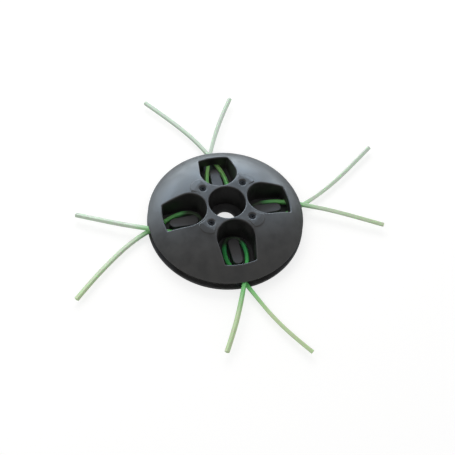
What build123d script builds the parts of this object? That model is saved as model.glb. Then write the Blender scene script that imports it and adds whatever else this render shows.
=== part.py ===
from build123d import *
import math
import os

os.makedirs("parts", exist_ok=True)

# Fixed-line trimmer head, in millimetres. It lies on its flat base, nut side up.
# The axis of rotation is Z and the four pockets lie on +X, +Y, -X and -Y.

# Disc and dome
disc_radius = 77.5
base_overhang = 0.8
base_thickness = 2.6
total_height = 34.0
cover_wall = 2.6
lip_edge = 1.2
skirt_inset = 3.5
skirt_wall = 2.5

# Centre: round nut recess, the hole for the machine's shaft below it, and the flat land round it
nut_recess_radius = 18.2
arbor_radius = 10.0
hub_pad_height = 2.0
hub_wall = 2.3
hub_land = 3.5
washer_seat_radius = 22.0
washer_seat_depth = 0.8

# Pockets: round towards the hub, sides closing a little towards an arc near the rim
pocket_count = 4
pocket_nose_radius = 18.3
pocket_outer_half_width = 15.3
pocket_rim_land = 14.4
pocket_corner = 1.6
pocket_wall = 2.2

# Line channels from the pockets to the rim
channel_inner_half_width = 9.5
channel_outer_half_width = 5.0
channel_setback = 3.1

# Tongues that the lines are looped round
tongue_height = 8.9
tongue_nose_radius = 5.9
tongue_nose_gap = 7.1
tongue_tip_radius = 5.1
tongue_tip_gap = 11.2

# Countersunk screws, the low pads round them on the dome and their posts on the base
screw_land = 4.5
screw_radius = 2.0
screw_length = 16.0
screw_head_radius = 3.2
screw_head_angle = 90
screw_point = 0.8
screw_cross_length = 3.2
screw_cross_width = 0.9
screw_cross_depth = 1.1
screw_sink = 1.0
screw_grip = 5.0
pad_radius = 13.0
pad_rise = 0.8
pad_margin = 1.0
pad_slope = 50
pad_root = 0.3
boss_wall = 1.6
post_radius = 4.3
pilot_spare = 1.5

# Ring on the base that centres the skirt of the cover
ring_wall = 2.0
ring_height = 2.5

# Cutting line, square with rounded corners
line_side = 3.7
line_corner = 0.6
run_share = 0.45

# Clearances
line_clearance = 0.1
crossing_clearance = 0.3
window_clearance = 0.2
spigot_clearance = 0.15
thread_clearance = 0.05
shank_clearance = 0.2
head_clearance = 0.05
ring_clearance = 0.2
ring_gap_clearance = 1.0

# Rounded and broken edges
bore_edge = 0.9
pocket_edge = 1.1
rim_edge = 0.5
tongue_edge = 0.8
screw_mouth_edge = 0.8

# Worked-out places
pocket_angle = 360 / pocket_count
screw_first_angle = pocket_angle / 2
line_floor = base_thickness + line_clearance + line_side / 2
crossing_lift = line_side + crossing_clearance
lip_underside = line_floor + crossing_lift + line_side / 2 + window_clearance
rim_height = lip_underside + lip_edge
hub_tube_radius = nut_recess_radius + hub_wall
hub_flat_radius = hub_tube_radius + hub_land
screw_circle = hub_flat_radius + screw_land
dome_rise = total_height - rim_height
dome_run = disc_radius - hub_flat_radius
dome_radius = (dome_run**2 + dome_rise**2) / (2 * dome_rise)
dome_centre_height = total_height - dome_radius
skirt_radius = disc_radius - skirt_inset
skirt_inner_radius = skirt_radius - skirt_wall
pocket_nose_place = hub_tube_radius + pocket_nose_radius
pocket_outer_radius = disc_radius - pocket_rim_land
channel_start_radius = pocket_outer_radius - channel_setback
tongue_nose_place = hub_tube_radius + tongue_nose_gap + tongue_nose_radius
tongue_tip_place = pocket_outer_radius - tongue_tip_gap
head_slope = math.tan(math.radians(screw_head_angle / 2))
screw_head_height = (screw_head_radius - screw_radius) / head_slope
countersink_radius = screw_head_radius + head_clearance + screw_sink * head_slope
head_top = total_height - screw_sink
head_seat = head_top - screw_head_height
post_top = head_seat - screw_grip
pilot_depth = screw_length - screw_head_height - screw_grip + pilot_spare
boss_radius = countersink_radius + boss_wall
pad_reach = screw_circle + pad_radius
pad_depth = dome_radius - math.sqrt(dome_radius**2 - (pad_reach - hub_flat_radius) ** 2) + pad_root
pad_foot = total_height - pad_depth
pad_spread = pad_depth / math.tan(math.radians(pad_slope))
pad_notch_radius = pocket_nose_radius + pad_margin
ring_outer_radius = skirt_inner_radius - ring_clearance
ring_gap_width = 2 * (channel_inner_half_width + ring_gap_clearance)


def dome_arc(radius, depth=0.0):
    """Three points of the dome's section, or of a surface that far under it, from the hub out to a radius."""
    points = []
    for place in (hub_flat_radius, (hub_flat_radius + radius) / 2, radius):
        run = place - hub_flat_radius
        points.append((place, dome_centre_height + math.sqrt((dome_radius - depth) ** 2 - run**2)))
    return points


def pocket_outline(margin=0.0, corner=0.0):
    """Shield-shaped face of the pocket on +X, grown by a margin, with its outer corners rounded."""
    nose = pocket_nose_radius + margin
    outer = pocket_outer_radius + margin
    corner_y = pocket_outer_half_width + margin
    corner_x = math.sqrt(outer**2 - corner_y**2)
    reach = math.hypot(corner_x - pocket_nose_place, corner_y)
    bearing = math.atan2(corner_y, corner_x - pocket_nose_place) + math.acos(nose / reach)
    tangent_x = pocket_nose_place + nose * math.cos(bearing)
    tangent_y = nose * math.sin(bearing)
    with BuildSketch() as outline:
        with BuildLine():
            Line((tangent_x, tangent_y), (corner_x, corner_y))
            ThreePointArc((corner_x, corner_y), (outer, 0), (corner_x, -corner_y))
            Line((corner_x, -corner_y), (tangent_x, -tangent_y))
            nose_tip = (pocket_nose_place - nose, 0)
            ThreePointArc((tangent_x, -tangent_y), nose_tip, (tangent_x, tangent_y))
        make_face()
        if corner:
            fillet(outline.vertices().group_by(Axis.X)[-1], corner)
    return outline.sketch


def tongue_outline():
    """Face of the tongue on +X, round at both ends and narrower towards the rim."""
    with BuildSketch() as outline:
        with Locations((tongue_nose_place, 0)):
            Circle(tongue_nose_radius)
        with Locations((tongue_tip_place, 0)):
            Circle(tongue_tip_radius)
        make_hull()
    return outline.sketch


# The space under the dome, round the hub tube, the pocket walls and the screw bosses
with BuildPart() as hollow:
    with BuildSketch(Plane.XZ):
        with BuildLine():
            ceiling = dome_arc(skirt_inner_radius, cover_wall)
            Polyline(
                ceiling[2],
                (skirt_inner_radius, base_thickness),
                (hub_tube_radius, base_thickness),
                (hub_tube_radius, total_height - cover_wall),
                ceiling[0],
            )
            ThreePointArc(*ceiling)
        make_face()
    revolve(axis=Axis.Z)
    with BuildSketch(Plane.XY.offset(base_thickness)):
        with PolarLocations(0, pocket_count):
            add(pocket_outline(margin=pocket_wall))
    extrude(amount=total_height, mode=Mode.SUBTRACT)
    with BuildSketch(Plane.XY.offset(post_top)):
        with PolarLocations(screw_circle, pocket_count, start_angle=screw_first_angle):
            Circle(boss_radius)
    extrude(amount=total_height, mode=Mode.SUBTRACT)

# Low pads for the screws: level with the hub, then a little proud of the dome, with sloping sides
standing = (Align.CENTER, Align.CENTER, Align.MIN)
with BuildPart() as pads:
    with Locations((0, 0, pad_foot)):
        with PolarLocations(screw_circle, pocket_count, start_angle=screw_first_angle):
            Cone(pad_radius, pad_radius - pad_spread, pad_depth, align=standing)
        with PolarLocations(pocket_nose_place, pocket_count):
            Cone(pad_notch_radius, pad_notch_radius + pad_spread, pad_depth, align=standing, mode=Mode.SUBTRACT)
        Cylinder(hub_tube_radius, pad_depth, align=standing, mode=Mode.SUBTRACT)
    with BuildSketch(Plane.XZ):
        with BuildLine():
            proud = dome_arc(pad_reach, -pad_rise)
            Polyline(proud[2], (pad_reach, pad_foot), (0, pad_foot), (0, total_height + pad_rise), proud[0])
            ThreePointArc(*proud)
        make_face()
    revolve(axis=Axis.Z, mode=Mode.INTERSECT)

# Top cover: one moulding of dome, skirt, hub tube, pocket walls and screw bosses
with BuildPart() as top_cover:
    with BuildSketch(Plane.XZ) as section:
        with BuildLine():
            crown = dome_arc(disc_radius)
            Polyline(
                crown[2],
                (disc_radius, lip_underside),
                (skirt_radius, lip_underside),
                (skirt_radius, base_thickness),
                (0, base_thickness),
                (0, total_height),
                crown[0],
            )
            ThreePointArc(*crown)
        make_face()
        fillet(section.vertices().group_by(Axis.X)[-1], rim_edge)
    revolve(axis=Axis.Z)
    add(hollow.part, mode=Mode.SUBTRACT)
    # Pockets, with softened mouths
    with BuildSketch(Plane.XY.offset(base_thickness)):
        with PolarLocations(0, pocket_count):
            add(pocket_outline(corner=pocket_corner))
    extrude(amount=total_height, mode=Mode.SUBTRACT)
    mouths = top_cover.edges(Select.LAST).filter_by(Axis.Z, reverse=True)
    mouths = mouths.filter_by(lambda edge: edge.center().Z > lip_underside)
    fillet(mouths, pocket_edge)
    add(pads.part)
    # Channels that lead the lines out through the pocket walls and the skirt
    with BuildSketch(Plane.XY.offset(base_thickness)):
        with PolarLocations(0, pocket_count):
            Polygon(
                (channel_start_radius, -channel_inner_half_width),
                (disc_radius, -channel_outer_half_width),
                (disc_radius, channel_outer_half_width),
                (channel_start_radius, channel_inner_half_width),
                align=None,
            )
    extrude(amount=lip_underside - base_thickness, mode=Mode.SUBTRACT)
    # Screw holes and nut recess
    with Locations((0, 0, total_height)):
        with PolarLocations(screw_circle, pocket_count, start_angle=screw_first_angle):
            CounterSinkHole(screw_radius + shank_clearance, countersink_radius, counter_sink_angle=screw_head_angle)
    fillet(top_cover.edges(Select.LAST).group_by(Axis.Z)[-1], screw_mouth_edge)
    Hole(nut_recess_radius)
    fillet(top_cover.edges(Select.LAST).group_by(Axis.Z)[-1], bore_edge)
top_cover.part.label = "top_cover"
export_step(top_cover.part, "parts/top_cover.step")

# Base plate: flat disc that carries the hub spigot, the tongues, the screw posts and the locating ring
with BuildPart() as base_plate:
    with BuildSketch():
        Circle(disc_radius + base_overhang)
    extrude(amount=base_thickness)
    fillet(base_plate.edges(), rim_edge)
    with BuildSketch(Plane.XY.offset(base_thickness)):
        Circle(nut_recess_radius - spigot_clearance)
    extrude(amount=hub_pad_height)
    with BuildSketch(Plane.XY.offset(base_thickness)):
        with PolarLocations(screw_circle, pocket_count, start_angle=screw_first_angle):
            Circle(post_radius)
    extrude(amount=post_top - base_thickness)
    with BuildSketch(Plane.XY.offset(base_thickness)):
        Circle(ring_outer_radius)
        Circle(ring_outer_radius - ring_wall, mode=Mode.SUBTRACT)
        with PolarLocations(ring_outer_radius, pocket_count):
            Rectangle(ring_outer_radius, ring_gap_width, mode=Mode.SUBTRACT)
    extrude(amount=ring_height)
    with BuildSketch(Plane.XY.offset(base_thickness)):
        with PolarLocations(0, pocket_count):
            add(tongue_outline())
    extrude(amount=tongue_height)
    fillet(base_plate.edges(Select.LAST).group_by(Axis.Z)[-1], tongue_edge)
    with Locations((0, 0, post_top)):
        with PolarLocations(screw_circle, pocket_count, start_angle=screw_first_angle):
            Hole(screw_radius + thread_clearance, pilot_depth)
    with BuildSketch():
        Circle(washer_seat_radius)
    extrude(amount=washer_seat_depth, mode=Mode.SUBTRACT)
    Hole(arbor_radius)
base_plate.part.label = "base_plate"
export_step(base_plate.part, "parts/base_plate.step")

# Screws: four alike, with countersunk heads just below the pads and a cross recess
with BuildPart() as cover_screws:
    with Locations((0, 0, head_seat)):
        with PolarLocations(screw_circle, pocket_count, start_angle=screw_first_angle):
            Cone(screw_radius, screw_head_radius, screw_head_height, align=standing)
    with BuildSketch(Plane.XY.offset(head_seat)):
        with PolarLocations(screw_circle, pocket_count, start_angle=screw_first_angle):
            Circle(screw_radius)
    extrude(amount=screw_head_height - screw_length)
    chamfer(cover_screws.edges().group_by(Axis.Z)[0], screw_point)
    with BuildSketch(Plane.XY.offset(head_top)):
        with PolarLocations(screw_circle, pocket_count, start_angle=screw_first_angle):
            Rectangle(screw_cross_length, screw_cross_width)
            Rectangle(screw_cross_width, screw_cross_length)
    extrude(amount=-screw_cross_depth, mode=Mode.SUBTRACT)
cover_screws.part.label = "cover_screws"
export_step(cover_screws.part, "parts/cover_screws.step")

# Cutting lines: each runs from one tip in through its rim window, round its tongue and out again.
# The two strands cross in the window, one over the other, so that each tail leaves on the side away
# from its strand. Points are along the pocket's axis, across it, and the share of the crossing's lift.
line_routes = {
    "line_right": [
        (173.6, 59.8, 0.32), (152.5, 44.1, 0.20), (128.7, 27.0, 0.08), (104.0, 11.9, 0.02), (86.0, 3.4, 0.00),
        (73.0, -2.0, 0.00), (63.0, -5.9, 0.00), (53.0, -9.0, 0.00), (43.0, -11.0, 0.00), (33.0, -10.3, 0.00),
        (25.1, -5.0, 0.00), (25.1, 5.0, 0.02), (33.0, 10.3, 0.08), (43.0, 11.1, 0.26), (53.0, 9.3, 0.57),
        (63.0, 6.1, 0.85), (73.0, 2.2, 1.00), (86.0, -3.2, 1.00), (105.0, -11.4, 0.94), (131.0, -24.9, 0.78),
        (155.6, -38.4, 0.57),
    ],
    "line_far": [
        (162.6, 53.5, 0.38), (138.0, 33.9, 0.23), (112.0, 15.7, 0.08), (94.0, 5.7, 0.02), (82.0, 0.4, 0.00),
        (71.0, -4.0, 0.00), (62.0, -7.1, 0.00), (52.5, -9.7, 0.00), (43.0, -11.0, 0.00), (33.4, -9.9, 0.00),
        (25.2, -4.8, 0.00), (25.2, 4.9, 0.02), (33.2, 9.7, 0.08), (43.0, 9.9, 0.26), (52.5, 8.0, 0.57),
        (62.0, 5.0, 0.85), (71.0, 1.8, 1.00), (83.0, -3.0, 1.00), (101.0, -11.0, 0.97), (127.0, -24.3, 0.85),
        (151.6, -39.5, 0.66),
    ],
    "line_left": [
        (156.2, 62.5, 0.26), (141.0, 47.2, 0.17), (124.0, 31.8, 0.08), (106.5, 17.4, 0.02), (91.5, 7.4, 0.00),
        (80.0, 1.8, 0.00), (70.0, -2.6, 0.00), (61.0, -6.9, 0.03), (52.0, -10.7, 0.15), (43.0, -12.9, 0.28),
        (33.0, -12.2, 0.28), (25.2, -6.3, 0.12), (25.1, 4.6, 0.04), (32.4, 10.3, 0.08), (42.5, 11.2, 0.26),
        (52.0, 9.5, 0.57), (61.5, 6.4, 0.85), (71.0, 2.6, 1.00), (83.0, -1.9, 1.00), (100.0, -8.6, 0.94),
        (123.5, -19.4, 0.75), (145.3, -30.0, 0.54),
    ],
    "line_near": [
        (156.5, 46.0, 0.23), (136.5, 31.6, 0.14), (113.5, 18.6, 0.05), (96.0, 11.0, 0.00), (83.0, 5.6, 0.00),
        (72.0, 0.6, 0.00), (62.5, -4.6, 0.00), (53.0, -8.3, 0.00), (43.5, -10.0, 0.00), (34.0, -9.3, 0.00),
        (25.1, -4.9, 0.00), (24.8, 5.2, 0.02), (31.8, 10.4, 0.08), (41.5, 11.5, 0.26), (51.5, 9.9, 0.57),
        (61.5, 6.5, 0.85), (71.0, 2.9, 1.00), (82.0, -1.4, 1.00), (101.0, -9.6, 0.94), (122.5, -20.1, 0.82),
        (141.3, -31.2, 0.63),
    ],
}


def bend_radii(points):
    """Tangent radius at each inner point: a share of its shorter run over the tan of half its turn."""
    radii = []
    for before, here, after in zip(points, points[1:], points[2:]):
        run_in = Vector(here) - Vector(before)
        run_out = Vector(after) - Vector(here)
        half_turn = math.radians(run_in.get_angle(run_out) / 2)
        radii.append(run_share * min(run_in.length, run_out.length) / math.tan(half_turn))
    return radii


for turn, (name, places) in enumerate(line_routes.items()):
    points = [(along, across, line_floor + share * crossing_lift) for along, across, share in places]
    radii = bend_radii(points)
    pocket_plane = Plane.XY.rotated((0, 0, turn * pocket_angle))
    with BuildPart() as cutting_line:
        with BuildLine(pocket_plane) as route:
            FilletPolyline(*points, radius=radii)
        path = route.wires()[0]
        level = Vector(0, 0, 1).cross(path % 0)
        with BuildSketch(Plane(origin=path @ 0, x_dir=level, z_dir=path % 0)) as section:
            RectangleRounded(line_side, line_side, line_corner)
        sweep(path=path)
    cutting_line.part.label = name
    export_step(cutting_line.part, f"parts/{name}.step")
    fill = cutting_line.part.volume / (section.sketch.area * path.length)
    print(name, "length", round(path.length, 1), "volume over section times length", round(fill, 4))
    print(name, "radii", [round(radius, 1) for radius in radii])
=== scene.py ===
# %% [markdown]
# # A fixed-line trimmer head, dressed from its solids
# The real object is a spare part for a garden machine: two dark nylon mouldings screwed together, with
# four lengths of green cutting line looped round tongues in its pockets. The solids come packed from
# CAD in metres, already in place, so this lesson adds the camera, the studio, the flexible lines and
# the finishes. No solid is moved or changed.

# %% Load the solids
import math

import bpy
from mathutils import Matrix, Vector


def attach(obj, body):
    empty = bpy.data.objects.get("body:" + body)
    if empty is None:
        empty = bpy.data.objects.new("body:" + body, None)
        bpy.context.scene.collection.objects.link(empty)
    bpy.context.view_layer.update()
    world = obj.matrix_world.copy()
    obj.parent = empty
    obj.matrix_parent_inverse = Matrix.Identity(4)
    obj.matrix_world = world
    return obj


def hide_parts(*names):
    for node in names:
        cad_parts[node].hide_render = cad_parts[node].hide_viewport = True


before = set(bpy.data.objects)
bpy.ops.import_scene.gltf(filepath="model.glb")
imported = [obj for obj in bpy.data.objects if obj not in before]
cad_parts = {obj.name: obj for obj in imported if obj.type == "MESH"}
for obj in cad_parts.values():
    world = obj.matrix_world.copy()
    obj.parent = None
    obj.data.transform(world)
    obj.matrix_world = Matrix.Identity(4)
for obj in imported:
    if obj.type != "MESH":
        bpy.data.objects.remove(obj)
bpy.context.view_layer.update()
scene = bpy.context.scene
scene.view_settings.view_transform = "Standard"

# %% [markdown]
# ## Camera
# The head was seen from above its near side, a little rolled. A camera can be aimed by eye, but this one
# was fitted: the rim's ellipse gives the tilt, the pockets give the turn, and the spread of near and far
# pockets gives the distance. Building its matrix from three unit vectors keeps the roll exact, and the
# centre of the rim is put on its own pixel, so no lens shift is needed.

# %% Aim the camera
IMAGE_SIDE = 455
SENSOR_MM = 36.0
FOCAL_PIXELS = 753.4
VIEW_DISTANCE = 0.750
VIEW_ELEVATION = math.radians(57.51)
VIEW_TURN = math.radians(-18.98)
VIEW_ROLL = math.radians(7.04)
RIM_CENTRE = Vector((0.0, 0.0, 0.0117))
RIM_CENTRE_PIXEL = (225.85, 214.51)

to_object = Matrix.Rotation(VIEW_TURN, 3, "Z")
view_back = to_object @ Vector((0, -math.cos(VIEW_ELEVATION), math.sin(VIEW_ELEVATION)))
level_right = to_object @ Vector((1, 0, 0))
level_up = view_back.cross(level_right)
view_right = math.cos(VIEW_ROLL) * level_right + math.sin(VIEW_ROLL) * level_up
view_up = math.cos(VIEW_ROLL) * level_up - math.sin(VIEW_ROLL) * level_right
pixel = VIEW_DISTANCE / FOCAL_PIXELS
camera_place = RIM_CENTRE + view_back * VIEW_DISTANCE
camera_place -= view_right * (RIM_CENTRE_PIXEL[0] - IMAGE_SIDE / 2) * pixel
camera_place += view_up * (RIM_CENTRE_PIXEL[1] - IMAGE_SIDE / 2) * pixel

camera = bpy.data.objects.new("camera", bpy.data.cameras.new("camera"))
scene.collection.objects.link(camera)
camera.data.sensor_width = SENSOR_MM
camera.data.lens = FOCAL_PIXELS * SENSOR_MM / IMAGE_SIDE
turned = Matrix((view_right, view_up, view_back)).transposed()
camera.matrix_world = Matrix.Translation(camera_place) @ turned.to_4x4()
scene.camera = camera
print("camera at", [round(x, 3) for x in camera_place], "lens", round(camera.data.lens, 1))

# %% [markdown]
# ## Node helpers
# Every finish below is a node tree. Writing each node as four lines hides the idea, so one helper adds a
# node, sets its options and either fills or links each input. Inputs are named, or numbered where a node
# has several with the same name. A second helper does the same for sums.

# %% Helpers that add nodes
NUMBERED = {"a_": 0, "b_": 1, "c_": 2}


def feed(tree, socket, value):
    """Links another node's output to a socket, or sets the socket to a plain value."""
    if isinstance(value, bpy.types.NodeSocket):
        tree.links.new(value, socket)
    else:
        socket.default_value = value


def put(tree, kind, options=None, **inputs):
    """Adds a node. An input is a value, or another node's output to link; a_, b_ and c_ are by number."""
    made = tree.nodes.new(kind)
    for name, value in (options or {}).items():
        setattr(made, name, value)
    for name, value in inputs.items():
        feed(tree, made.inputs[NUMBERED.get(name, name.replace("_", " "))], value)
    return made


def math_node(tree, operation, *values, clamp=False):
    """Adds a Math node for up to three values or links and returns its result."""
    options = {"operation": operation, "use_clamp": clamp}
    return put(tree, "ShaderNodeMath", options, **dict(zip(NUMBERED, values))).outputs[0]


# %% [markdown]
# ## Studio
# The photograph is cut out on white, but the head was not lit by white all round: its near side and its
# hollows are dark. So the surrounding and the floor are white to the camera, dimmer in mirror images, and
# give a soft fill. The floor glows a little towards the camera so that it stays near white, and still
# takes the shadow. Seen from below it lets the view through, so that the underside can be looked at.

# %% White surrounding
WHITE_STRENGTH = 1.0
MIRROR_STRENGTH = 0.8
FILL_STRENGTH = 0.55


def by_ray(tree, camera, mirror, soft):
    """One value for what the camera sees, one for mirror images and one for light that bounces softly."""
    path = put(tree, "ShaderNodeLightPath")
    direct = math_node(tree, "MAXIMUM", path.outputs["Is Camera Ray"], path.outputs["Is Transmission Ray"])
    value = math_node(tree, "MULTIPLY_ADD", direct, camera - soft, soft)
    return math_node(tree, "MULTIPLY_ADD", path.outputs["Is Glossy Ray"], mirror - soft, value)


world = bpy.data.worlds.new("white_surrounding")
world.use_nodes = True
scene.world = world
sky = world.node_tree
background = sky.nodes["Background"]
background.inputs["Color"].default_value = (1, 1, 1, 1)
strength = by_ray(sky, camera=WHITE_STRENGTH, mirror=MIRROR_STRENGTH, soft=FILL_STRENGTH)
sky.links.new(strength, background.inputs["Strength"])
print("surrounding: fill", FILL_STRENGTH, "mirrored", MIRROR_STRENGTH)

# %% Pale floor
FLOOR_DROP = 0.0002
FLOOR_HALF = 6.0
FLOOR_TONE = {"camera": 0.36, "mirror": 0.2, "soft": 0.7}
FLOOR_GLOW = {"camera": 0.72, "mirror": 0.2, "soft": 0.0}

floor_mesh = bpy.data.meshes.new("studio_floor")
signs = ((-1, -1), (1, -1), (1, 1), (-1, 1))
corners = [(x * FLOOR_HALF, y * FLOOR_HALF, -FLOOR_DROP) for x, y in signs]
floor_mesh.from_pydata(corners, [], [(0, 1, 2, 3)])
floor = bpy.data.objects.new("studio_floor", floor_mesh)
scene.collection.objects.link(floor)

paper = bpy.data.materials.new("pale_paper")
paper.use_nodes = True
tree = paper.node_tree
tree.nodes.remove(tree.nodes["Principled BSDF"])
shade = by_ray(tree, **FLOOR_TONE)
grey = put(tree, "ShaderNodeCombineColor", Red=shade, Green=shade, Blue=shade)
matt = put(tree, "ShaderNodeBsdfDiffuse", Color=grey.outputs[0])
glow = put(tree, "ShaderNodeEmission", Strength=by_ray(tree, **FLOOR_GLOW))
both = put(tree, "ShaderNodeAddShader", a_=matt.outputs[0], b_=glow.outputs[0])
under = put(tree, "ShaderNodeNewGeometry").outputs["Backfacing"]
clear = put(tree, "ShaderNodeBsdfTransparent")
paper_top = put(tree, "ShaderNodeMixShader", a_=under, b_=both.outputs[0], c_=clear.outputs[0])
tree.links.new(paper_top.outputs[0], tree.nodes["Material Output"].inputs["Surface"])
floor_mesh.materials.append(paper)
print("floor", 2 * FLOOR_HALF, "m wide")

# %% [markdown]
# ## Lamps
# Black plastic mirrors about four parts in a hundred, so a grey sheen needs sources several times brighter
# than white paper. They stand low round the far side, where the far slope of the dome mirrors them to the
# camera and the near slope does not, and they are blue like an open sky. Only their mirror image is
# wanted, so they are hidden from matt surfaces. Two weaker boxes light the matt surfaces and are not
# mirrored. Each lamp was rendered alone and weighed, so that their sum gives the sheen round the dome, and
# the weights were then trimmed.

# %% Soft boxes
LAMP_DISTANCE = 1.25
SKY_BLUE = (0.62, 0.80, 1.0)
HAZE = (0.82, 0.93, 1.0)
DAYLIGHT = (1.0, 0.99, 0.96)
SKY_SIZE = (0.7, 0.5)
HORIZON_SIZE = (1.0, 0.3)
WIDE_SIZE = (1.0, 0.6)
SQUARE_SIZE = (0.6, 0.6)

# Name, degrees round from the camera's right, degrees up, width and height, brightness, colour.
MIRRORED_BOXES = (
    ("sky_far", 100, 32, SKY_SIZE, 10.0, SKY_BLUE),
    ("sky_left", 144, 28, SKY_SIZE, 7.5, SKY_BLUE),
    ("sky_right", 62, 28, SKY_SIZE, 5.2, SKY_BLUE),
    ("horizon_far", 105, 7, HORIZON_SIZE, 11.0, HAZE),
    ("horizon_left", 148, 7, HORIZON_SIZE, 5.5, HAZE),
    ("horizon_right", 66, 7, HORIZON_SIZE, 5.0, HAZE),
)
MATT_BOXES = (
    ("matt_far", 105, 42, WIDE_SIZE, 3.2, DAYLIGHT),
    ("matt_left", 186, 41, SQUARE_SIZE, 1.4, DAYLIGHT),
)


def soft_box(name, azimuth, elevation, size, brightness, colour, mirrored):
    """An area lamp that faces the head, either only mirrored or only for matt surfaces."""
    width, height = size
    lamp = bpy.data.lights.new(name, "AREA")
    lamp.shape = "RECTANGLE"
    lamp.size = width
    lamp.size_y = height
    lamp.energy = brightness * math.pi * width * height
    lamp.color = colour
    box = bpy.data.objects.new(name, lamp)
    box.visible_glossy = mirrored
    box.visible_diffuse = not mirrored
    scene.collection.objects.link(box)
    round_about, up = math.radians(azimuth), math.radians(elevation)
    level = Vector((math.cos(round_about), math.sin(round_about), 0)) * math.cos(up)
    box.location = to_object @ (level + Vector((0, 0, math.sin(up)))) * LAMP_DISTANCE
    box.rotation_euler = (RIM_CENTRE - box.location).to_track_quat("-Z", "Y").to_euler()
    print(name, "power", round(lamp.energy, 2))


for row in MIRRORED_BOXES:
    soft_box(*row, mirrored=True)
for row in MATT_BOXES:
    soft_box(*row, mirrored=False)

# %% [markdown]
# ## Cutting lines
# Each real line is one piece of stiff square nylon: in through a window in the rim, round the tongue in
# the pocket and out again over itself. A curve with its own section is the natural way to draw it, because
# its route is all there is to say. Every line is drawn as two halves that meet behind the tongue's nose,
# where it is held, so that each half is a cord with a held end and a cut end. The points are the ones of
# the CAD route, as control points of a smooth NURBS spline: millimetres along and across the pocket's
# axis, the share of the lift that carries one strand over the other in the window, and the twist in
# degrees. A springy square line never lies quite flat, so outside the window it may stand on an edge.
# Three tips end half a millimetre early, so that the turned section stays in the box of the solids.

# %% Routes of the half lines
MM = 0.001
LINE_SIDE = 3.7
LINE_FLOOR = 4.55
CROSSING_LIFT = 4.0

half_lines = {
    "line_right_under": [
        (25.1, 0.0, 0.06, 10), (25.1, -5.0, 0.05, 10), (33.0, -10.3, 0.05, 10), (43.0, -11.0, 0.05, 10),
        (53.0, -9.0, 0.05, 5), (63.0, -5.9, 0.01, 0), (73.0, -2.0, 0.0, 0), (86.0, 3.4, 0.0, 10),
        (104.0, 11.9, 0.02, 25), (128.7, 27.0, 0.08, 30), (152.5, 44.1, 0.2, 30), (173.2, 59.5, 0.32, 30),
    ],
    "line_right_over": [
        (25.1, 0.0, 0.06, 10), (25.1, 5.0, 0.06, 10), (33.0, 10.3, 0.1, 10), (43.0, 11.1, 0.26, 10),
        (53.0, 9.3, 0.57, 5), (63.0, 6.1, 0.85, 0), (73.0, 2.2, 1.0, 0), (86.0, -3.2, 1.0, 10),
        (105.0, -11.4, 0.94, 20), (131.0, -24.9, 0.78, 20), (155.6, -38.4, 0.57, 20),
    ],
    "line_far_under": [
        (25.2, 0.05, 0.08, 20), (25.2, -4.8, 0.1, 30), (33.4, -9.9, 0.12, 40), (43.0, -11.0, 0.12, 40),
        (52.5, -9.7, 0.1, 30), (62.0, -7.1, 0.03, 5), (71.0, -4.0, 0.0, 0), (82.0, 0.4, 0.0, 0),
        (94.0, 5.7, 0.02, 0), (112.0, 15.7, 0.08, 0), (138.0, 33.9, 0.23, 0), (162.6, 53.5, 0.38, 0),
    ],
    "line_far_over": [
        (25.2, 0.05, 0.08, 20), (25.2, 4.9, 0.1, 30), (33.2, 9.7, 0.14, 40), (43.0, 9.9, 0.28, 40),
        (52.5, 8.0, 0.57, 30), (62.0, 5.0, 0.85, 5), (71.0, 1.8, 1.0, 0), (83.0, -3.0, 1.0, 10),
        (101.0, -11.0, 0.97, 30), (127.0, -24.3, 0.85, 40), (151.6, -39.5, 0.66, 40),
    ],
    "line_left_under": [
        (25.15, -0.85, 0.08, 10), (25.2, -6.3, 0.14, 10), (33.0, -12.2, 0.28, 10), (43.0, -12.9, 0.28, 10),
        (52.0, -10.7, 0.15, 5), (61.0, -6.9, 0.04, 0), (70.0, -2.6, 0.0, 0), (80.0, 1.8, 0.0, 0),
        (91.5, 7.4, 0.0, 10), (106.5, 17.4, 0.02, 20), (124.0, 31.8, 0.08, 20), (141.0, 47.2, 0.17, 20),
        (155.8, 62.1, 0.26, 20),
    ],
    "line_left_over": [
        (25.15, -0.85, 0.08, 10), (25.1, 4.6, 0.06, 10), (32.4, 10.3, 0.1, 10), (42.5, 11.2, 0.26, 10),
        (52.0, 9.5, 0.57, 5), (61.5, 6.4, 0.85, 0), (71.0, 2.6, 1.0, 0), (83.0, -1.9, 1.0, 10),
        (100.0, -8.6, 0.94, 20), (123.5, -19.4, 0.75, 20), (145.3, -30.0, 0.54, 20),
    ],
    "line_near_under": [
        (24.95, 0.15, 0.08, 20), (25.1, -4.9, 0.1, 30), (34.0, -9.3, 0.12, 40), (43.5, -10.0, 0.12, 40),
        (53.0, -8.3, 0.1, 30), (62.5, -4.6, 0.03, 5), (72.0, 0.6, 0.0, 0), (83.0, 5.6, 0.0, 10),
        (96.0, 11.0, 0.0, 20), (113.5, 18.6, 0.05, 20), (136.5, 31.6, 0.14, 20), (156.1, 45.7, 0.23, 20),
    ],
    "line_near_over": [
        (24.95, 0.15, 0.08, 20), (24.8, 5.2, 0.1, 30), (31.8, 10.4, 0.14, 40), (41.5, 11.5, 0.28, 40),
        (51.5, 9.9, 0.57, 30), (61.5, 6.5, 0.85, 5), (71.0, 2.9, 1.0, 0), (82.0, -1.4, 1.0, 20),
        (101.0, -9.6, 0.94, 40), (122.5, -20.1, 0.82, 45), (141.3, -31.2, 0.63, 45),
    ],
}
print("half lines:", len(half_lines))

# %% The section of the line
SPLINE_ORDER = 3
SECTION_STEPS = 2
FLAT = 0.3  # how far the flat of a side reaches, as a share of half the side

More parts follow.
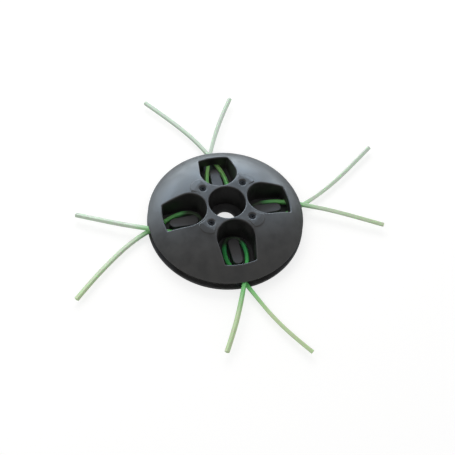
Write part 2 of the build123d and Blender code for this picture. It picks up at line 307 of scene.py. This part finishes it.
section_curve = bpy.data.curves.new("line_section", "CURVE")
section_curve.dimensions = "2D"
section_curve.resolution_u = SECTION_STEPS
section_spline = section_curve.splines.new("NURBS")
section_points = [
    (1, -FLAT), (1, FLAT), (1, 1), (FLAT, 1), (-FLAT, 1), (-1, 1),
    (-1, FLAT), (-1, -FLAT), (-1, -1), (-FLAT, -1), (FLAT, -1), (1, -1),
]
section_spline.points.add(len(section_points) - 1)
for knot, (x, y) in zip(section_spline.points, section_points):
    knot.co = (x * LINE_SIDE / 2, y * LINE_SIDE / 2, 0.0, 1.0)
section_spline.order_u = SPLINE_ORDER
section_spline.use_cyclic_u = True
line_section = bpy.data.objects.new("line_section", section_curve)
print("section:", LINE_SIDE, "mm square")

# %% Draw the half lines
LINE_STEPS = 14
QUARTER_TURNS = {"line_right": 0, "line_far": 1, "line_left": 2, "line_near": 3}


def line_curve(name, points):
    """A square curve along one half line's control points, in metres, turned to its own pocket."""
    node = name.rsplit("_", 1)[0]
    turn = Matrix.Rotation(QUARTER_TURNS[node] * math.pi / 2, 3, "Z")
    curve = bpy.data.curves.new(name, "CURVE")
    curve.dimensions = "3D"
    curve.bevel_mode = "OBJECT"
    curve.bevel_object = line_section
    curve.twist_mode = "Z_UP"
    curve.resolution_u = LINE_STEPS
    curve.use_fill_caps = True
    spline = curve.splines.new("NURBS")
    spline.points.add(len(points) - 1)
    places = []
    for knot, (along, across, share, twist) in zip(spline.points, points):
        place = turn @ Vector((along, across, LINE_FLOOR + share * CROSSING_LIFT)) * MM
        knot.co = (*place, 1.0)
        knot.tilt = math.radians(twist)
        knot.radius = MM  # the section is drawn in millimetres
        places.append(place)
    spline.order_u = SPLINE_ORDER
    spline.use_endpoint_u = True
    piece = bpy.data.objects.new(name, curve)
    scene.collection.objects.link(piece)
    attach(piece, "root")
    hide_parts(node)
    return piece, places


line_pieces = []
for name, points in half_lines.items():
    piece, places = line_curve(name, points)
    line_pieces.append(piece)

# %% [markdown]
# ## Shared effects
# Moulded nylon is never one flat black. Its surface copies the fine blasted texture of the mould, its
# gloss drifts where the melt flowed, its edges get rubbed, lightened further on the cover as a painted
# highlight, and its corners hold dust. Each of these could be drawn in every material again, but more than
# one material uses it, so each is a node group with named sockets, built once.

# %% Group: the fine texture of the mould
FLOW_LOW, FLOW_HIGH = 0.35, 0.65  # the noise hardly leaves this range, so it is stretched to 0 to 1
FLOW_MIDDLE = 0.5


def new_group(name, inputs, outputs):
    """An empty shader group with float sockets; returns its tree, its input node and its output node."""
    group = bpy.data.node_groups.new(name, "ShaderNodeTree")
    for label, value in inputs.items():
        socket = group.interface.new_socket(label, in_out="INPUT", socket_type="NodeSocketFloat")
        socket.default_value = value
    for label in outputs:
        group.interface.new_socket(label, in_out="OUTPUT", socket_type="NodeSocketFloat")
    return group, group.nodes.new("NodeGroupInput"), group.nodes.new("NodeGroupOutput")


def ramp(tree, value, start, end, lowest=0.0):
    """Goes from lowest to one while the value goes from start to end, and stays level outside that."""
    limits = {"From_Min": start, "From_Max": end, "To_Min": lowest}
    return put(tree, "ShaderNodeMapRange", {"clamp": True}, Value=value, **limits).outputs[0]


mould_grain, given, result = new_group(
    "mould grain",
    {"Grain Scale": 1800.0, "Drift Scale": 60.0, "Roughness": 0.42, "Roughness Drift": 0.12},
    ["Height", "Roughness", "Drift"],
)
values = given.outputs
spot = put(mould_grain, "ShaderNodeTexCoord").outputs["Object"]
pits = put(mould_grain, "ShaderNodeTexNoise", Vector=spot, Scale=values["Grain Scale"], Detail=2.0)
flow = put(mould_grain, "ShaderNodeTexNoise", Vector=spot, Scale=values["Drift Scale"], Detail=5.0)
drift = ramp(mould_grain, flow.outputs[0], FLOW_LOW, FLOW_HIGH)
centred = math_node(mould_grain, "SUBTRACT", drift, FLOW_MIDDLE)
rough = math_node(mould_grain, "MULTIPLY_ADD", centred, values["Roughness Drift"], values["Roughness"])
mould_grain.links.new(pits.outputs[0], result.inputs["Height"])
mould_grain.links.new(rough, result.inputs["Roughness"])
mould_grain.links.new(drift, result.inputs["Drift"])
print("group", mould_grain.name, [socket.name for socket in mould_grain.interface.items_tree])

# %% [markdown]
# ### Rubbed edges and painted highlights
# A spinning head is rubbed most at its outer edges. On the cover the light grey of this mark is also a
# painted highlight, standing for the gleam along the pocket mouths. A rounded normal differs from the flat
# one only near an edge, so the difference marks the edges without painting them by hand. A noise breaks
# the mark up, and it grows with the distance from the axis.

# %% Group: rubbed edges and painted highlights
KEPT_SHARE = 0.12
EDGE_GAIN = 6.0
LEVEL = (1, 1, 0)


def from_axis(tree, spot):
    """How far a place lies from the head's axis."""
    level = put(tree, "ShaderNodeVectorMath", {"operation": "MULTIPLY"}, a_=spot, b_=LEVEL)
    return put(tree, "ShaderNodeVectorMath", {"operation": "LENGTH"}, a_=level.outputs[0]).outputs["Value"]


edge_rub_and_highlight, given, result = new_group(
    "edge rub and highlight",
    {"Width": 0.0009, "Break-up Scale": 220.0, "Strength": 1.0, "Kept Radius": 0.0, "Worn Radius": 0.001},
    ["Edge"],
)
values = given.outputs
spot = put(edge_rub_and_highlight, "ShaderNodeTexCoord").outputs["Object"]
outward_share = ramp(edge_rub_and_highlight, from_axis(edge_rub_and_highlight, spot), values["Kept Radius"], values["Worn Radius"], KEPT_SHARE)
rounded = put(edge_rub_and_highlight, "ShaderNodeBevel", {"samples": 4}, Radius=values["Width"])
flat = put(edge_rub_and_highlight, "ShaderNodeNewGeometry").outputs["Normal"]
same = put(edge_rub_and_highlight, "ShaderNodeVectorMath", {"operation": "DOT_PRODUCT"}, a_=rounded.outputs[0], b_=flat)
bent = math_node(edge_rub_and_highlight, "SUBTRACT", 1.0, same.outputs["Value"])
patchy = put(edge_rub_and_highlight, "ShaderNodeTexNoise", Vector=spot, Scale=values["Break-up Scale"], Detail=3.0)
rub_and_highlight_mark = math_node(edge_rub_and_highlight, "MULTIPLY", math_node(edge_rub_and_highlight, "MULTIPLY", bent, EDGE_GAIN), patchy.outputs[0])
strength = math_node(edge_rub_and_highlight, "MULTIPLY", outward_share, values["Strength"])
edge = math_node(edge_rub_and_highlight, "MULTIPLY", rub_and_highlight_mark, strength, clamp=True)
edge_rub_and_highlight.links.new(edge, result.inputs["Edge"])
print("group", edge_rub_and_highlight.name, [socket.name for socket in edge_rub_and_highlight.interface.items_tree])

# %% [markdown]
# ### Settled dust
# Dust lies in corners and on what faces up. Ambient occlusion finds the corners and the normal's height
# finds the upward faces, and a fine noise turns the even film into specks.

# %% Group: settled dust
UPWARD_SHARE = 0.25
CORNER_SHARE = 0.7

settled_dust, given, result = new_group(
    "settled dust", {"Corner Reach": 0.006, "Speckle Scale": 900.0, "Amount": 0.5}, ["Dust"]
)
values = given.outputs
spot = put(settled_dust, "ShaderNodeTexCoord").outputs["Object"]
openness = put(settled_dust, "ShaderNodeAmbientOcclusion", {"samples": 4}, Distance=values["Corner Reach"])
corner = math_node(settled_dust, "SUBTRACT", 1.0, openness.outputs["AO"])
normal = put(settled_dust, "ShaderNodeNewGeometry").outputs["Normal"]
facing = put(settled_dust, "ShaderNodeSeparateXYZ", Vector=normal)
upward = math_node(settled_dust, "MULTIPLY", facing.outputs["Z"], UPWARD_SHARE, clamp=True)
where = math_node(settled_dust, "ADD", math_node(settled_dust, "MULTIPLY", corner, CORNER_SHARE), upward)
speckle = put(settled_dust, "ShaderNodeTexNoise", Vector=spot, Scale=values["Speckle Scale"], Detail=4.0)
lying = math_node(settled_dust, "MULTIPLY", where, speckle.outputs[0])
dust = math_node(settled_dust, "MULTIPLY", lying, values["Amount"], clamp=True)
settled_dust.links.new(dust, result.inputs["Dust"])
print("group", settled_dust.name, [socket.name for socket in settled_dust.interface.items_tree])

# %% [markdown]
# ## Moulded nylon
# The cover and the base plate are black glass-filled nylon. Almost all the light that comes back from
# them is mirrored at the surface, stronger at a glancing angle, which is what makes the far half of
# the dome grey and the near half nearly black. So the colour stays very dark and the work is in the
# roughness and in the fine bump. The two mouldings share the groups and differ in their values.

# %% Materials of the two mouldings
MIX_FACTOR, MIX_FIRST, MIX_SECOND, MIX_RESULT = 0, 6, 7, 2  # a Mix node's sockets for colours
DUST_COLOUR = (0.16, 0.155, 0.145, 1)
SOFT_EDGE = 0.0008
NYLON_IOR = 1.53


def group_node(tree, group, **values):
    """Places a group in a material with its own values."""
    made = tree.nodes.new("ShaderNodeGroup")
    made.node_tree = group
    for name, value in values.items():
        made.inputs[name.replace("_", " ")].default_value = value
    return made


def blend_colours(tree, factor, first, second):
    """Mixes two colours, each a value or a link, and returns the result."""
    mix = tree.nodes.new("ShaderNodeMix")
    mix.data_type = "RGBA"
    for place, value in ((MIX_FACTOR, factor), (MIX_FIRST, first), (MIX_SECOND, second)):
        feed(tree, mix.inputs[place], value)
    return mix.outputs[MIX_RESULT]


def moulded_nylon(name, dark, light, rub_and_highlight, edge_marking, grain, bump, dust):
    """Black nylon: drifting tone and gloss, fine mould texture, rubbed edges that can also carry a painted
    highlight, and a little dust.
    """
    made = bpy.data.materials.new(name)
    made.use_nodes = True
    tree = made.node_tree
    skin = tree.nodes["Principled BSDF"]
    texture = group_node(tree, mould_grain, **grain)
    edges = group_node(tree, edge_rub_and_highlight, **edge_marking)
    dusty = group_node(tree, settled_dust, Amount=dust)
    tone = blend_colours(tree, texture.outputs["Drift"], dark, light)
    tone = blend_colours(tree, edges.outputs["Edge"], tone, rub_and_highlight)
    tone = blend_colours(tree, dusty.outputs["Dust"], tone, DUST_COLOUR)
    tree.links.new(tone, skin.inputs["Base Color"])
    tree.links.new(texture.outputs["Roughness"], skin.inputs["Roughness"])
    soft = put(tree, "ShaderNodeBevel", {"samples": 6}, Radius=SOFT_EDGE).outputs[0]
    height = texture.outputs["Height"]
    relief = put(tree, "ShaderNodeBump", Strength=1.0, Distance=bump, Height=height, Normal=soft)
    tree.links.new(relief.outputs[0], skin.inputs["Normal"])
    skin.inputs["IOR"].default_value = NYLON_IOR
    print("material", name, len(tree.nodes), "nodes")
    return made


# The cover's light grey edge colour is partly wear and partly a painted highlight along the pocket mouths,
# kept off the edges near the hub.
cover_nylon = moulded_nylon(
    "cover_nylon",
    dark=(0.009, 0.009, 0.009, 1), light=(0.027, 0.026, 0.025, 1), rub_and_highlight=(0.22, 0.22, 0.22, 1),
    edge_marking={"Width": 0.0014, "Kept_Radius": 0.041, "Worn_Radius": 0.050},
    grain={"Drift_Scale": 80.0, "Roughness": 0.46, "Roughness_Drift": 0.16},
    bump=0.00001, dust=0.06,
)
base_nylon = moulded_nylon(
    "base_nylon",
    dark=(0.012, 0.012, 0.013, 1), light=(0.03, 0.03, 0.032, 1), rub_and_highlight=(0.08, 0.08, 0.08, 1),
    edge_marking={},
    grain={"Grain_Scale": 1500.0, "Roughness": 0.46, "Roughness_Drift": 0.16},
    bump=0.000012, dust=0.35,
)

# %% [markdown]
# ## Screws
# The screws are blackened steel and show only as dark dimples. Plain black would look like holes, so they
# get the same grain and rubbed edges as the mouldings, at a finer scale, on a metal skin.

# %% Material of the screws
SCREW_DARK = (0.006, 0.006, 0.006, 1)
SCREW_LIGHT = (0.02, 0.02, 0.021, 1)
SCREW_RUBBED = (0.06, 0.06, 0.06, 1)
SCREW_GRAIN = {"Grain_Scale": 2600.0, "Drift_Scale": 700.0, "Roughness": 0.55, "Roughness_Drift": 0.2}

screw_black = bpy.data.materials.new("screw_black")
screw_black.use_nodes = True
tree = screw_black.node_tree
skin = tree.nodes["Principled BSDF"]
texture = group_node(tree, mould_grain, **SCREW_GRAIN)
edges = group_node(tree, edge_rub_and_highlight, Width=0.0003)
tone = blend_colours(tree, texture.outputs["Drift"], SCREW_DARK, SCREW_LIGHT)
tone = blend_colours(tree, edges.outputs["Edge"], tone, SCREW_RUBBED)
tree.links.new(tone, skin.inputs["Base Color"])
tree.links.new(texture.outputs["Roughness"], skin.inputs["Roughness"])
skin.inputs["Metallic"].default_value = 1.0
print("material", screw_black.name, len(tree.nodes), "nodes")

# %% [markdown]
# ## Green of the line
# The line is extruded nylon, and its green is not even: deep in the pockets, partly as painted shade,
# yellower at the windows, and paler out on the tails, from closer in on the far side than on the near
# side, which stays yellow-green. The greens of the sides are painted light and shade too: lighter and
# yellower in the lit far pocket and its window, darker in the side pockets.
# The colours could be painted on by hand, but a place on the head says enough: the distance from the axis
# tells pocket, window and tail apart, and the Y axis tells the far side from the near one.

# %% Greens along the line, with painted light and shade
WINDOW_FROM, WINDOW_TO = 0.040, 0.058
RIM_RADIUS = 0.070
PALE_FAR, PALE_NEAR = 0.076, 0.112
FAR_SIDE, NEAR_SIDE = 0.06, -0.06
# Far, side and near greens. In the pockets and windows the sides differ by painted light and shade: the
# lit far side lighter and yellower, the side pockets darker.
POCKET_GREENS_LIT_AND_SHADED = ((0.28, 0.80, 0.28, 1), (0.11, 0.41, 0.15, 1), (0.09, 0.60, 0.19, 1))
WINDOW_GREENS_LIT_AND_SHADED = ((0.52, 1.0, 0.36, 1), (0.23, 0.67, 0.22, 1), (0.11, 0.61, 0.16, 1))
TAIL_GREENS = ((0.66, 0.78, 0.66, 1), (0.68, 0.80, 0.64, 1), (0.64, 0.79, 0.49, 1))

line_nylon = bpy.data.materials.new("line_nylon")
line_nylon.use_nodes = True
tree = line_nylon.node_tree
spot = put(tree, "ShaderNodeTexCoord").outputs["Object"]
far_or_near = put(tree, "ShaderNodeSeparateXYZ", Vector=spot).outputs["Y"]
reach = from_axis(tree, spot)
nearness = ramp(tree, far_or_near, FAR_SIDE, NEAR_SIDE)
near_half = ramp(tree, far_or_near, 0.0, NEAR_SIDE)
far_half = ramp(tree, far_or_near, 0.0, FAR_SIDE)


def by_side_and_light(greens):
    """The green of a side: far, between or near, which in the pockets and windows carries painted light
    and shade.
    """
    far_green, side_green, near_green = greens
    far_or_side = blend_colours(tree, far_half, side_green, far_green)
    return blend_colours(tree, near_half, far_or_side, near_green)


at_window = ramp(tree, reach, WINDOW_FROM, WINDOW_TO)
pale_from = math_node(tree, "MULTIPLY_ADD", nearness, PALE_NEAR - PALE_FAR, PALE_FAR)
paling = ramp(tree, reach, RIM_RADIUS, pale_from)
green = blend_colours(tree, at_window, by_side_and_light(POCKET_GREENS_LIT_AND_SHADED), by_side_and_light(WINDOW_GREENS_LIT_AND_SHADED))
green = blend_colours(tree, paling, green, by_side_and_light(TAIL_GREENS))
print("greens along the line:", len(tree.nodes), "nodes")

# %% [markdown]
# ## Skin of the line
# Drawn nylon has faint streaks along it from the die, and glows a little from inside. As every line lies
# almost level, a noise that changes mainly with height runs along it. Where a line runs behind its tongue
# it lies in the shade of the hub wall. There painted shade darkens it, further out in the side pockets
# than in the far and near ones.

# %% Painted shade, streaks and gloss of the line
# Painted shade: a dark grey laid on the line behind its tongue, where the hub wall shades it.
HUB_SHADE_GREY = (0.055, 0.055, 0.045, 1)
HUB_SHADE_FROM, HUB_SHADE_TO = 0.032, 0.025
HUB_SHADE_SIDE = 0.021
HUB_SHADE_COVER = 0.9
STREAK_SCALE = (60.0, 60.0, 1400.0)
STREAK_DEPTH = 0.00002
LINE_ROUGHNESS, STREAK_ROUGHNESS = 0.4, 0.2
LINE_SKIN = {
    "Subsurface Weight": 0.35,
    "Subsurface Radius": (0.4, 1.0, 0.4),
    "Subsurface Scale": 0.002,
    "Specular IOR Level": 0.3,
}

skin = tree.nodes["Principled BSDF"]
sideways = math_node(tree, "SUBTRACT", 1.0, math_node(tree, "MAXIMUM", near_half, far_half))
shaded_reach = math_node(tree, "MULTIPLY_ADD", math_node(tree, "POWER", sideways, 2.0), -HUB_SHADE_SIDE, reach)
hub_shade = math_node(tree, "MULTIPLY", ramp(tree, shaded_reach, HUB_SHADE_FROM, HUB_SHADE_TO), HUB_SHADE_COVER)
green = blend_colours(tree, hub_shade, green, HUB_SHADE_GREY)
streak_spot = put(tree, "ShaderNodeMapping", Vector=spot, Scale=STREAK_SCALE).outputs[0]
streaks = put(tree, "ShaderNodeTexNoise", Vector=streak_spot, Scale=1.0, Detail=3.0).outputs[0]
deep = put(tree, "ShaderNodeHueSaturation", Saturation=1.1, Value=0.85, Color=green)
tree.links.new(blend_colours(tree, streaks, deep.outputs[0], green), skin.inputs["Base Color"])
rough = math_node(tree, "MULTIPLY_ADD", streaks, STREAK_ROUGHNESS, LINE_ROUGHNESS)
tree.links.new(rough, skin.inputs["Roughness"])
relief = put(tree, "ShaderNodeBump", Strength=1.0, Distance=STREAK_DEPTH, Height=streaks)
tree.links.new(relief.outputs[0], skin.inputs["Normal"])
for label, value in LINE_SKIN.items():
    skin.inputs[label].default_value = value
print("material", line_nylon.name, len(tree.nodes), "nodes")

# %% [markdown]
# ## Put the finishes on
# A solid that came from CAD keeps its shape and only changes its material. Smooth shading is already in
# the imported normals, so nothing else is needed.

# %% Give every piece its finish
finishes = {"top_cover": cover_nylon, "base_plate": base_nylon, "cover_screws": screw_black}
for node, finish in finishes.items():
    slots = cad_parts[node].data.materials
    slots.clear()
    slots.append(finish)
for piece in line_pieces:
    piece.data.materials.append(line_nylon)
print("finished:", sorted(finishes), "and", len(line_pieces), "half lines")
